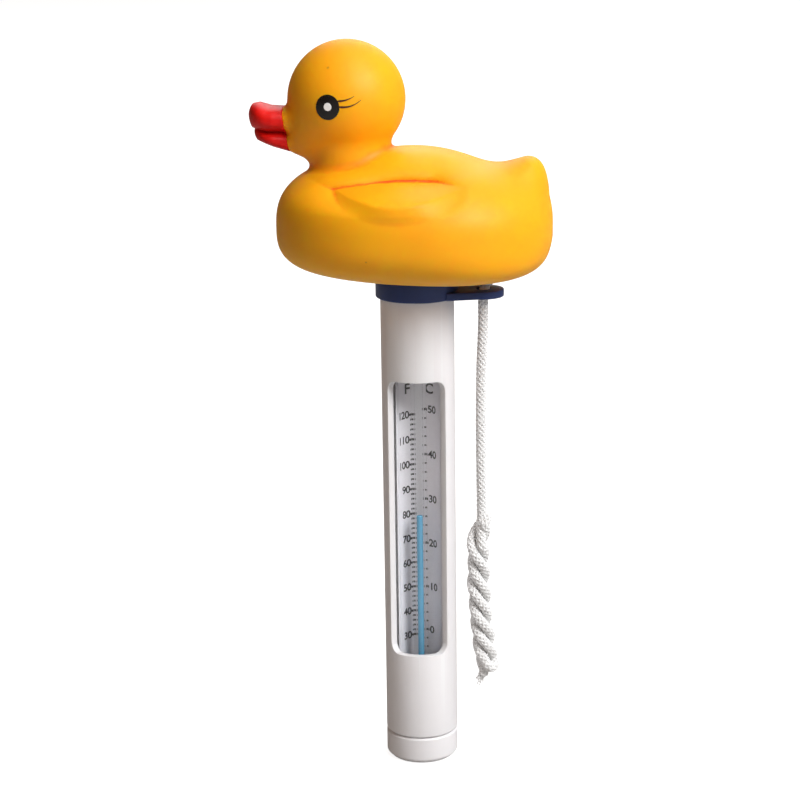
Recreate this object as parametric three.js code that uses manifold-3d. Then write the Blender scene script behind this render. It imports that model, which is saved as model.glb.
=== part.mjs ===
// Floating pool thermometer: a hollow vinyl duck carries a white tube that hangs in the water.
// The tube holds an enclosed-scale spirit thermometer behind a long window, and a braided
// tether hangs from a lug on the navy collar. Millimetres, +Z up. The origin is on the tube's
// axis at the waterline; the duck looks along -X, the lug points to +X and the window faces -Y.
import * as THREE from 'three';
import { mergeVertices } from 'three/addons/utils/BufferGeometryUtils.js';
import Module from 'manifold-3d';

const wasm = await Module();
wasm.setup();

// Driving dimensions. Heights are measured up from the underside of the base cap.
const WATERLINE = 168;
const GAP = 0.3;
const TUBE_R = 11;
const TUBE_WALL = 2;
const BORE_R = TUBE_R - TUBE_WALL;
const CAP_H = 8.3;
const TUBE_BOTTOM = CAP_H + GAP;
const TUBE_TOP = 150.6;
const WINDOW = { bottom: 35.4, top: 121.5, halfAngle: 51.5, corner: 3.5 };
const COLLAR = { r: 12.35, bottom: 145.7, top: 154.2 };
const LUG = { x: 19.6, tipR: 6.2, rootHalf: 8.6, thick: 1.7, holeR: 2.1 };
const NECK_R = 6.6;
const DUCK_WALL = 1.8;
const DUCK_BOTTOM = 150.5;
const DISH_TOP = 155.6;
const ENVELOPE = { r: 7.8, wall: 0.6, bottom: 25.5, top: 131 };
const CARD = { r: 6.8, thick: 0.3, halfAngle: 118, bottom: 27.3, top: 127 };
const STEM = { r: 2.3, boreR: 1.25, top: 118.8 };
const SPIRIT_R = 0.95;
const SPIRIT_TOP = 77.3;
const BULB = { r: 3.6, bottom: 14.3, top: 23.5 };
const BUSH = { r: 8.7, bottom: 13.8, top: 30 };
const CORD_R = 1.65;
const HANK = { x: 18.9, half: 3.7, top: 77.4, bottom: 24 };

const COLOURS = {
  vinyl: 0xf8b414, beak: 0xdc1e14, ink: 0x120c0a, navy: 0x19305f, white: 0xf0eef2,
  glass: 0xdfe8ee, paper: 0xe4e4ee, spirit: 0x5aa5d2, rubber: 0x6b6b6b, steel: 0x9a9ca0,
  cord: 0xe6e1da, foam: 0xd8d8d0, plug: 0xf4f2ea,
};

const device = new THREE.Group();
device.position.z = -WATERLINE;

function addPart(name, geometry, colour, roughness = 0.5, metalness = 0) {
  const material = new THREE.MeshStandardMaterial({ color: colour, roughness, metalness });
  const mesh = new THREE.Mesh(geometry, material);
  mesh.name = name;
  device.add(mesh);
}

// A closed three.js geometry as a solid that can be joined and cut.
function toSolid(geometry) {
  const bare = geometry.clone();
  bare.deleteAttribute('normal');
  bare.deleteAttribute('uv');
  const merged = mergeVertices(bare, 1e-5);
  return new wasm.Manifold(new wasm.Mesh({
    numProp: 3,
    vertProperties: Float32Array.from(merged.attributes.position.array),
    triVerts: Uint32Array.from(merged.index.array),
  }));
}

function toGeometry(solid) {
  const mesh = solid.getMesh();
  const geometry = new THREE.BufferGeometry();
  geometry.setAttribute('position', new THREE.BufferAttribute(mesh.vertProperties, 3));
  geometry.setIndex(new THREE.BufferAttribute(mesh.triVerts, 1));
  geometry.computeVertexNormals();
  return geometry;
}

// A profile of [radius, height] pairs turned about the Z axis.
function turned(profile, segments = 40) {
  const points = profile.map(([r, z]) => new THREE.Vector2(r, z));
  return new THREE.LatheGeometry(points, segments).rotateX(Math.PI / 2);
}

// A ring with a rectangular section.
function ring(innerR, outerR, bottom, top, segments = 40) {
  return turned([
    [innerR, bottom], [outerR, bottom], [outerR, top], [innerR, top], [innerR, bottom],
  ], segments);
}

function rod(radius, bottom, top, segments = 40) {
  const height = top - bottom;
  const cylinder = new THREE.CylinderGeometry(radius, radius, height, segments);
  return cylinder.rotateX(Math.PI / 2).translate(0, 0, bottom + height / 2);
}

// A closed blob: half-sizes a, b along X and Y, up and down along Z, and squareness powers.
function blob(shape, grow = 0) {
  const { centre, a, b, up, down, plan = 2, side = 2, rings = 14, sectors = 24 } = shape;
  const geometry = new THREE.SphereGeometry(1, sectors, rings).rotateX(Math.PI / 2);
  const position = geometry.attributes.position;
  for (let i = 0; i < position.count; i += 1) {
    const x = position.getX(i);
    const y = position.getY(i);
    const z = position.getZ(i);
    const tall = (z > 0 ? up : down) + grow;
    const flat = (Math.abs(x / (a + grow)) ** plan + Math.abs(y / (b + grow)) ** plan) ** (side / plan);
    const reach = (flat + Math.abs(z / tall) ** side) ** (-1 / side);
    position.setXYZ(i, centre[0] + x * reach, centre[1] + y * reach, centre[2] + z * reach);
  }
  return toSolid(geometry);
}

// The duck's body, neck, head and tail, each a rounded lump of the one moulding.
const BODY = {
  centre: [-0.9, 0, 167.6], a: 40.9, b: 34, up: 21.2, down: 167.6 - DUCK_BOTTOM,
  plan: 2.15, side: 2.5, rings: 16, sectors: 28,
};
const NECK = { centre: [-18.8, 0, 187], a: 12.9, b: 12.6, up: 12, down: 12, side: 3, sectors: 20, rings: 8 };
const HEAD = { centre: [-19.9, 0, 203.9], a: 17.1, b: 16.8, up: 17.1, down: 17.1 };
const TAIL = { centre: [31.4, 0, 176], a: 8.6, b: 12, up: 11.4, down: 12, side: 2.4, sectors: 16, rings: 10 };

function duckLumps(grow) {
  return [BODY, NECK, HEAD, TAIL].map((shape) => blob(shape, grow))
    .reduce((whole, lump) => whole.add(lump));
}

// The shallow dish in the duck's underside that takes the collar and the tether's knot.
function dish(grow, top) {
  const half = 15.5 + grow;
  const outline = new THREE.Shape();
  outline.absarc(11, 0, half, -Math.PI / 2, Math.PI / 2);
  outline.absarc(-1, 0, half, Math.PI / 2, Math.PI * 1.5);
  const bottom = DUCK_BOTTOM - 4;
  return toSolid(new THREE.ExtrudeGeometry(outline, {
    depth: top - bottom, bevelEnabled: false, curveSegments: 12,
  }).translate(0, 0, bottom));
}

function addDuck() {
  const hollow = duckLumps(-DUCK_WALL).subtract(dish(DUCK_WALL, DISH_TOP + DUCK_WALL));
  const neckHole = toSolid(rod(NECK_R + 0.35, DISH_TOP - 1, DISH_TOP + DUCK_WALL + 1, 28));
  const shell = duckLumps(0).subtract(dish(0, DISH_TOP)).subtract(hollow).subtract(neckHole);
  addPart('duck_float', toGeometry(shell), COLOURS.vinyl, 0.35);
  addBeak();
  addEye('eye_left', 1);
  addEye('eye_right', -1);
}

// The bill stands off the head by the thin gap that keeps the two solids apart.
function addBeak() {
  const upper = { centre: [-38.6, 0, 199.4], a: 9.7, b: 8.2, up: 5.2, down: 5, sectors: 18, rings: 10 };
  const lower = { centre: [-37.6, 0, 194.6], a: 9.3, b: 7.2, up: 4, down: 5, sectors: 18, rings: 10 };
  const bill = blob(upper).add(blob(lower));
  const keepOff = blob(HEAD, GAP).add(blob(NECK, GAP)).add(blob(BODY, GAP));
  addPart('beak', toGeometry(bill.subtract(keepOff)), COLOURS.beak, 0.4);
}

// A printed eye: a thin oval patch that follows the head.
function addEye(name, side) {
  const patch = new THREE.CylinderGeometry(3.5, 3.5, 8, 24).scale(1, 1, 1.08);
  const turn = new THREE.Matrix4().makeRotationZ(THREE.MathUtils.degToRad(side * 16));
  patch.applyMatrix4(turn).translate(HEAD.centre[0] - 4.6, side * -15.2, HEAD.centre[2] - 0.6);
  const skin = blob({ ...HEAD, rings: 24, sectors: 40 }, 0.75);
  const under = blob({ ...HEAD, rings: 24, sectors: 40 }, 0.4);
  addPart(name, toGeometry(toSolid(patch).intersect(skin).subtract(under)), COLOURS.ink, 0.3);
}

// Navy collar: a socket for the tube, a plug inside it, the lug, and the barbed neck above.
function addCollar() {
  const web = TUBE_TOP + 0.5;
  const body = toSolid(turned([
    [0, 160.4], [4.4, 160.4], [4.4, web], [7.4, web], [7.4, 146.8], [8.6, 146.8], [8.6, web],
    [TUBE_R + GAP, web], [TUBE_R + GAP, COLLAR.bottom + 0.4], [11.7, COLLAR.bottom],
    [11.95, COLLAR.bottom], [COLLAR.r, COLLAR.bottom + 0.5], [COLLAR.r, COLLAR.top - 0.6],
    [11.75, COLLAR.top], [NECK_R, COLLAR.top], [NECK_R, 158.2], [8.2, 158.6], [8.2, 159.3],
    [5.6, 162.2], [0, 162.2],
  ], 48));
  const outline = new THREE.Shape();
  outline.moveTo(9, -LUG.rootHalf);
  outline.lineTo(LUG.x - 0.9, -LUG.tipR);
  outline.absarc(LUG.x, 0, LUG.tipR, -1.72, 1.72);
  outline.lineTo(9, LUG.rootHalf);
  const hole = new THREE.Path();
  hole.absarc(LUG.x, 0, LUG.holeR, 0, Math.PI * 2);
  outline.holes.push(hole);
  const lug = toSolid(new THREE.ExtrudeGeometry(outline, {
    depth: LUG.thick, bevelEnabled: false, curveSegments: 14,
  }).translate(0, 0, COLLAR.bottom));
  const collar = body.add(lug.subtract(toSolid(rod(11.8, COLLAR.bottom - 1, COLLAR.top, 48))));
  addPart('collar_cap', toGeometry(collar), COLOURS.navy, 0.4);
  addPart('sealing_washer', ring(NECK_R + 0.35, 11.4, COLLAR.top + GAP, DISH_TOP - GAP), COLOURS.rubber, 0.8);
}

// The window's cutter: a wedge from the axis, limited to a slot with rounded corners.
function windowCutter() {
  const half = THREE.MathUtils.degToRad(WINDOW.halfAngle);
  const far = 2 * TUBE_R;
  const sector = new THREE.Shape([
    new THREE.Vector2(0, 0), new THREE.Vector2(-far * Math.sin(half), -far * Math.cos(half)),
    new THREE.Vector2(far * Math.sin(half), -far * Math.cos(half)),
  ]);
  const tall = WINDOW.top - WINDOW.bottom;
  const wedge = toSolid(new THREE.ExtrudeGeometry(sector, { depth: tall + 4, bevelEnabled: false })
    .translate(0, 0, WINDOW.bottom - 2));
  const w = TUBE_R * Math.sin(half);
  const c = WINDOW.corner;
  const slot = new THREE.Shape();
  slot.absarc(w - c, tall - c, c, 0, Math.PI / 2);
  slot.absarc(c - w, tall - c, c, Math.PI / 2, Math.PI);
  slot.absarc(c - w, c, c, Math.PI, Math.PI * 1.5);
  slot.absarc(w - c, c, c, Math.PI * 1.5, Math.PI * 2);
  const block = toSolid(new THREE.ExtrudeGeometry(slot, {
    depth: 2 * TUBE_R, bevelEnabled: false, curveSegments: 6,
  }).rotateX(Math.PI / 2).translate(0, 0, WINDOW.bottom));
  return wedge.intersect(block);
}

function addHousing() {
  const wall = toSolid(turned([
    [BORE_R, TUBE_BOTTOM], [TUBE_R - 0.5, TUBE_BOTTOM], [TUBE_R, TUBE_BOTTOM + 0.6],
    [TUBE_R, TUBE_TOP], [BORE_R, TUBE_TOP], [BORE_R, TUBE_BOTTOM],
  ], 56));
  addPart('housing_tube', toGeometry(wall.subtract(windowCutter())), COLOURS.white, 0.4);
}

// Base cap: a cup whose spigot plugs the tube, with the steel slug that keeps the tube upright.
function addBase() {
  addPart('base_cap', turned([
    [0, 0], [TUBE_R - 1.2, 0], [TUBE_R - 0.35, 0.35], [TUBE_R, 1.2], [TUBE_R, CAP_H - 0.5],
    [TUBE_R - 0.5, CAP_H], [8.7, CAP_H], [8.7, 13], [8.4, 13.4], [7.4, 13.4], [7.4, 1.8], [0, 1.8],
  ], 48), COLOURS.white, 0.4);
  addPart('ballast_weight', rod(7.1, 2.1, 12.2, 32), COLOURS.steel, 0.35, 1);
}

// Rubber bush that centres the bulb and carries the envelope, and the foam disc above it all.
function addCushions() {
  addPart('lower_bush', turned([
    [BULB.r + GAP, BUSH.bottom], [BUSH.r, BUSH.bottom], [BUSH.r, BUSH.top],
    [ENVELOPE.r + GAP, BUSH.top], [ENVELOPE.r + GAP, ENVELOPE.bottom - GAP],
    [BULB.r + GAP, ENVELOPE.bottom - GAP], [BULB.r + GAP, BUSH.bottom],
  ], 36), COLOURS.rubber, 0.8);
  addPart('top_cushion', rod(8.7, 134.6, 146.4, 32), COLOURS.foam, 0.9);
  addPart('envelope_stopper', turned([
    [0, 127.6], [6.7, 127.6], [6.9, 128], [6.9, 131.3], [7.7, 131.3], [7.7, 134.2], [0, 134.2],
  ], 32), COLOURS.plug, 0.6);
}

// Enclosed-scale thermometer: glass envelope, curled paper scale, stem with its bulb, spirit.
function addThermometer() {
  const inner = ENVELOPE.r - ENVELOPE.wall;
  addPart('envelope_glass', turned([
    [STEM.r + GAP, ENVELOPE.bottom], [6.6, ENVELOPE.bottom], [ENVELOPE.r, ENVELOPE.bottom + 1.2],
    [ENVELOPE.r, ENVELOPE.top], [inner, ENVELOPE.top], [inner, ENVELOPE.bottom + 1.5],
    [6.2, ENVELOPE.bottom + 0.7], [STEM.r + GAP, ENVELOPE.bottom + 0.7],
    [STEM.r + GAP, ENVELOPE.bottom],
  ], 40), COLOURS.glass, 0.05);
  const half = THREE.MathUtils.degToRad(CARD.halfAngle);
  const curl = new THREE.Shape();
  curl.absarc(0, 0, CARD.r, Math.PI / 2 - half, Math.PI / 2 + half);
  curl.absarc(0, 0, CARD.r - CARD.thick, Math.PI / 2 + half, Math.PI / 2 - half, true);
  addPart('scale_card', new THREE.ExtrudeGeometry(curl, {
    depth: CARD.top - CARD.bottom, bevelEnabled: false, curveSegments: 36,
  }).translate(0, 0, CARD.bottom), COLOURS.paper, 0.9);
  addPart('stem_glass', turned([
    [0, BULB.bottom], [2.6, BULB.bottom + 0.6], [BULB.r, BULB.bottom + 2.2],
    [BULB.r, BULB.top - 1.5], [STEM.r, BULB.top + 1], [STEM.r, STEM.top - 0.8],
    [STEM.r - 0.7, STEM.top], [STEM.boreR, STEM.top], [STEM.boreR, BULB.top + 0.6],
    [BULB.r - 0.6, BULB.top - 1.8], [BULB.r - 0.6, BULB.bottom + 2.4],
    [2.2, BULB.bottom + 1.2], [0, BULB.bottom + 0.6],
  ], 24), COLOURS.glass, 0.05);
  addPart('spirit_reservoir', turned([
    [0, BULB.bottom + 1], [1.9, BULB.bottom + 1.6], [BULB.r - 0.95, BULB.bottom + 2.8],
    [BULB.r - 0.95, BULB.top - 2.2], [SPIRIT_R, BULB.top + 0.2], [0, BULB.top + 0.2],
  ], 20), COLOURS.spirit, 0.2);
  addPart('spirit_column', turned([
    [0, BULB.top + 0.5], [SPIRIT_R, BULB.top + 0.5], [SPIRIT_R, SPIRIT_TOP - 0.4],
    [SPIRIT_R * 0.7, SPIRIT_TOP], [0, SPIRIT_TOP],
  ], 16), COLOURS.spirit, 0.2);
}

// Tether: a stopper knot on the lug, the hanging run of cord, and the hank at its end.
function addTether() {
  const topOfLug = COLLAR.bottom + LUG.thick;
  const knot = toSolid(new THREE.SphereGeometry(1, 18, 12).scale(3.6, 3.3, 2)
    .translate(LUG.x, 0, topOfLug + GAP + 2));
  const neck = toSolid(rod(CORD_R, COLLAR.bottom - 0.4, topOfLug + 2, 12).translate(LUG.x, 0, 0));
  addPart('tether_knot', toGeometry(knot.add(neck)), COLOURS.cord, 0.9);
  const route = new THREE.CatmullRomCurve3([
    [LUG.x, 0, 142.9], [19.6, 0, 138], [19.35, 0.1, 132], [19.0, 0.15, 124], [18.8, 0.1, 115],
    [18.75, 0, 105], [18.8, -0.1, 95], [18.9, -0.1, 86], [18.9, 0, HANK.top + GAP],
  ].map((point) => new THREE.Vector3(...point)));
  const section = new THREE.Shape();
  section.absarc(0, 0, CORD_R, 0, Math.PI * 2);
  addPart('tether_cord', new THREE.ExtrudeGeometry(section, {
    steps: 9, extrudePath: route, curveSegments: 4, bevelEnabled: false,
  }), COLOURS.cord, 0.9);
  const outline = new THREE.Shape();
  outline.absarc(0, HANK.top - HANK.half, HANK.half, 0, Math.PI);
  outline.absarc(0, HANK.bottom + HANK.half, HANK.half, Math.PI, Math.PI * 2);
  addPart('tether_hank', new THREE.ExtrudeGeometry(outline, {
    depth: 2 * HANK.half, bevelEnabled: false, curveSegments: 8,
  }).rotateX(Math.PI / 2).translate(HANK.x, HANK.half, 0), COLOURS.cord, 0.9);
}

addDuck();
addCollar();
addHousing();
addBase();
addCushions();
addThermometer();
addTether();

const root = new THREE.Group();
root.add(device);
export default root;
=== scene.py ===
import math

import bmesh
import bpy
import numpy as np
from mathutils import Matrix, Vector


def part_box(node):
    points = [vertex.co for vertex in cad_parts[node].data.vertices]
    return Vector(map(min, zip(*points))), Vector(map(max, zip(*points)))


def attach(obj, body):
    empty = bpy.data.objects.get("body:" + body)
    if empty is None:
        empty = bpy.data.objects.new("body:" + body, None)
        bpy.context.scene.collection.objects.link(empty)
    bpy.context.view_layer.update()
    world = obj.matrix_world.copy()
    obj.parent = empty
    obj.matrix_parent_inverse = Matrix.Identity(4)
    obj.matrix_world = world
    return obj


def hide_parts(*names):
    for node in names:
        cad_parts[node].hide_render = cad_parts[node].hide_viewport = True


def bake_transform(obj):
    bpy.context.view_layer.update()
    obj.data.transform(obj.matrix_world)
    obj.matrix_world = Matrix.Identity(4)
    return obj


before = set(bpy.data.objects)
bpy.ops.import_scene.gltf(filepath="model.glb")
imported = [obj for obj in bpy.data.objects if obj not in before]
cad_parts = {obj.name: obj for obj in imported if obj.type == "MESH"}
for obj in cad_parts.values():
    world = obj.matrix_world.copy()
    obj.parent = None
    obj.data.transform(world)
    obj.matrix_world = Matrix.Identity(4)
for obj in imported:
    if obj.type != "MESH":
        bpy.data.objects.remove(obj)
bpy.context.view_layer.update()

# ---------------------------------------------------------------------------
# View. The camera stands a little above the tube's foot and looks slightly down,
# turned a few degrees off the window and leaning very slightly to one side.
FLOOR_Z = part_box("base_cap")[0][2]
VIEW_AZIMUTH = math.radians(4.5)
VIEW_DISTANCE = 0.597
VIEW_HEIGHT = 0.268
VIEW_OFF_CENTRE = math.radians(0.53)
VIEW_DOWN = math.radians(14.49)
VIEW_LEAN = math.radians(-0.83)


def new_object(name, data):
    made = bpy.data.objects.new(name, data)
    bpy.context.scene.collection.objects.link(made)
    return made


camera = new_object("camera", bpy.data.cameras.new("camera"))
camera.data.lens = 92.2
camera.data.sensor_width = 36
camera.matrix_world = (
    Matrix.Translation((VIEW_DISTANCE * math.sin(VIEW_AZIMUTH),
                        -VIEW_DISTANCE * math.cos(VIEW_AZIMUTH),
                        FLOOR_Z + VIEW_HEIGHT))
    @ Matrix.Rotation(VIEW_AZIMUTH + VIEW_OFF_CENTRE, 4, "Z")
    @ Matrix.Rotation(math.radians(90) - VIEW_DOWN, 4, "X")
    @ Matrix.Rotation(VIEW_LEAN, 4, "Z")
)
bpy.context.scene.camera = camera
bpy.context.scene.view_settings.view_transform = "Standard"

# ---------------------------------------------------------------------------
# Stage. A plain white floor and three soft lights: the key stands to the right,
# in front and above, so the left side of everything falls into warm shade.
FLOOR_HALF = 7.0
FLOOR_GAP = 0.0002
FLOOR_GLOW = 0.88
LIGHTS_AIM = Vector((0, 0, -0.03))
WARM_SHADE = (1, 0.6, 0.34, 1)
SHADE_POWER, BRIGHT_POWER = 0.14, 0.4


def node(tree, kind, settings=(), **wires):
    """A new node: settings are its own options, wires go to sockets by position (s0, s1 ...)."""
    made = tree.nodes.new(kind)
    for option, value in dict(settings).items():
        setattr(made, option, value)
    for place, source in wires.items():
        socket = made.inputs[int(place[1:])]
        if isinstance(source, bpy.types.NodeSocket):
            tree.links.new(source, socket)
        else:
            socket.default_value = source
    return made


def maths(tree, operation, a, b=0.0):
    return node(tree, "ShaderNodeMath", {"operation": operation}, s0=a, s1=b).outputs[0]


def new_material(name, colour, roughness, metallic=0.0):
    material = bpy.data.materials.new(name)
    material.use_nodes = True
    shader = material.node_tree.nodes["Principled BSDF"]
    shader.inputs["Base Color"].default_value = (*colour, 1)
    shader.inputs["Roughness"].default_value = roughness
    shader.inputs["Metallic"].default_value = metallic
    return material, material.node_tree, shader


floor_mesh = bpy.data.meshes.new("floor")
floor_mesh.from_pydata(
    [(x * FLOOR_HALF, y * FLOOR_HALF, FLOOR_Z - FLOOR_GAP) for x, y in ((-1, -1), (1, -1), (1, 1), (-1, 1))],
    [], [(0, 1, 2, 3)])
floor = new_object("floor", floor_mesh)
paper, tree, shader = new_material("floor_paper", (0.42, 0.41, 0.4), 0.9)
seen = node(tree, "ShaderNodeLightPath").outputs["Is Camera Ray"]
shader.inputs["Emission Color"].default_value = (1, 1, 1, 1)
tree.links.new(maths(tree, "MULTIPLY", seen, FLOOR_GLOW), shader.inputs["Emission Strength"])
floor_mesh.materials.append(paper)


def soft_light(name, place, size, power):
    lamp = bpy.data.lights.new(name, "AREA")
    lamp.shape = "DISK"
    lamp.size = size
    lamp.energy = power
    holder = new_object(name, lamp)
    holder.location = place
    holder.rotation_euler = (LIGHTS_AIM - Vector(place)).to_track_quat("-Z", "Y").to_euler()


soft_light("key", (0.85, -0.74, 0.85), size=0.7, power=20.5)
soft_light("top", (0.45, -0.25, 1.5), size=0.9, power=7)
soft_light("far_floor", (0.0, 2.6, 1.8), size=2.5, power=30)
world = bpy.data.worlds.new("studio")
world.use_nodes = True
tree = world.node_tree
seen = node(tree, "ShaderNodeLightPath").outputs["Is Camera Ray"]
around = node(tree, "ShaderNodeTexCoord").outputs["Generated"]
across = node(tree, "ShaderNodeSeparateXYZ", s0=around).outputs["X"]
walls = node(tree, "ShaderNodeMapRange", s0=across, s1=-0.8, s3=SHADE_POWER, s4=BRIGHT_POWER).outputs[0]
power = node(tree, "ShaderNodeMix", s0=seen, s2=walls, s3=1.0).outputs[0]
cooler = node(tree, "ShaderNodeMapRange", s0=across, s1=-0.8, s2=0.4).outputs[0]
tint = node(tree, "ShaderNodeMix", {"data_type": "RGBA"}, s0=maths(tree, "MAXIMUM", cooler, seen),
            s6=WARM_SHADE, s7=(1, 1, 1, 1)).outputs[2]
tree.links.new(tint, tree.nodes["Background"].inputs["Color"])
tree.links.new(power, tree.nodes["Background"].inputs["Strength"])
bpy.context.scene.world = world

# ---------------------------------------------------------------------------
# Tether. A white polypropylene cord, 3.3 mm thick, braided from twelve strands over a core.
# A stopper knot holds it above the lug; it falls through the lug's eye and ends in a hank
# of three runs twisted together and a frayed tail.
MM = 0.001
LUG_X = 19.6
LUG_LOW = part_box("collar_cap")[0][2] / MM
KNOT_TURNS, KNOT_R, KNOT_HIGH, KNOT_LOW = 1.2, 1.75, LUG_LOW + 7.4, LUG_LOW + 4.0
FALL = [
    (0.0196, 0, -0.0251), (0.0196, 0, -0.030), (0.01935, 0.0001, -0.036), (0.0190, 0.00015, -0.044),
    (0.0188, 0.0001, -0.053), (0.01875, 0, -0.063), (0.0188, -0.0001, -0.073),
    (0.0189, -0.0001, -0.082), (0.0189, 0, -0.0903),
]
HANK_AXIS = ((-140, 20.3), (-134, 20.1), (-127, 18.8), (-119, 18.3), (-111, 17.8), (-105, 18.0),
             (-98, 17.5), (-91, 18.6))
HANK_HIGH, HANK_LOW, HANK_R, HANK_PITCH = -93.2, -136.4, 2.0, 20.0


def along_hank(z, phase, spread=1.0):
    turn = 2 * math.pi * (HANK_HIGH - z) / HANK_PITCH + phase
    heights, places = zip(*HANK_AXIS)
    x = np.interp([z - 4, z - 2, z, z + 2, z + 4], heights, places).mean()
    wander = 0.12 * math.sin(0.35 * z + 2.1 * phase)
    radius = HANK_R * spread + 0.12 * math.sin(0.3 * z + phase)
    return (x + wander + radius * math.cos(turn), 0.2 * wander + radius * math.sin(turn), z)


def hank_run(z_from, z_to, phase, steps=22):
    return [along_hank(z_from + (z_to - z_from) * k / steps, phase) for k in range(steps + 1)]


def hank_fold(z, phase, next_phase, depth, steps=8):
    fold = []
    for k in range(1, steps):
        u = k / steps
        x, y, _ = along_hank(z, phase + (next_phase - phase) * u, 1 + 0.25 * math.sin(math.pi * u))
        fold.append((x, y, z + depth * math.sin(math.pi * u)))
    return fold


def smooth_route(points, step):
    """Even steps along the Catmull-Rom curve through the points."""
    p = np.array([points[0], *points, points[-1]], float)
    dense = []
    for a, b, c, d in zip(p, p[1:], p[2:], p[3:]):
        for t in np.linspace(0, 1, 24, endpoint=False):
            dense.append(0.5 * (2 * b + (c - a) * t + (2 * a - 5 * b + 4 * c - d) * t ** 2
                                + (3 * b - a - 3 * c + d) * t ** 3))
    dense = np.array([*dense, p[-1]])
    run = np.concatenate([[0], np.cumsum(np.linalg.norm(np.diff(dense, axis=0), axis=1))])
    even = np.linspace(0, run[-1], int(run[-1] / step) + 1)
    return np.stack([np.interp(even, run, dense[:, k]) for k in range(3)], axis=1), run[-1]


knot = [(LUG_X + KNOT_R * math.cos(a), KNOT_R * math.sin(a),
         KNOT_HIGH + (KNOT_LOW - KNOT_HIGH) * a / (2 * math.pi * KNOT_TURNS))
        for a in np.linspace(0, 2 * math.pi * KNOT_TURNS, 16)]
third = 2 * math.pi / 3
START = math.radians(200)
hank = (hank_run(HANK_HIGH - 6, HANK_LOW, START)
        + hank_fold(HANK_LOW, START, START + third, -2.9)
        + hank_run(HANK_LOW, HANK_HIGH, START + third)
        + hank_fold(HANK_HIGH, START + third, START + 2 * third, 2.4)
        + hank_run(HANK_HIGH, HANK_LOW - 1, START + 2 * third))
tail = [(19.2, -0.2, -139.9), (19.4, -0.5, -141.1), (19.2, -0.6, -142.1)]
cord_path, cord_length = smooth_route(
    [*knot, (LUG_X + 0.5, 0.3, LUG_LOW + 2.2), (LUG_X, 0, LUG_LOW)]
    + [tuple(c / MM for c in point) for point in FALL] + hank + tail, 0.5)


def tree_with(name, sockets):
    """An empty Geometry Nodes tree with a geometry in and out and the named inputs."""
    tree = bpy.data.node_groups.new(name, "GeometryNodeTree")
    tree.interface.new_socket("Geometry", in_out="INPUT", socket_type="NodeSocketGeometry")
    for label, kind in sockets:
        tree.interface.new_socket(label, in_out="INPUT", socket_type="NodeSocket" + kind)
    tree.interface.new_socket("Geometry", in_out="OUTPUT", socket_type="NodeSocketGeometry")
    return tree, tree.nodes.new("NodeGroupInput"), tree.nodes.new("NodeGroupOutput")


def grow(name, geometry, tree, values):
    """Run a Geometry Nodes tree on a mesh or curve and keep its result as a plain mesh."""
    seed = new_object(name, geometry)
    modifier = seed.modifiers.new("grow", "NODES")
    modifier.node_group = tree
    for item in tree.interface.items_tree:
        if item.in_out == "INPUT" and item.name in values:
            modifier[item.identifier] = values[item.name]
    mesh = bpy.data.meshes.new_from_object(seed.evaluated_get(bpy.context.evaluated_depsgraph_get()))
    bpy.data.objects.remove(seed)
    return new_object(name, mesh)


def poly_curve(name, routes):
    curve = bpy.data.curves.new(name, "CURVE")
    curve.dimensions = "3D"
    for points in routes:
        spline = curve.splines.new("POLY")
        spline.points.add(len(points) - 1)
        spline.points.foreach_set("co", np.c_[points, np.ones(len(points))].ravel())
    return curve


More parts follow.
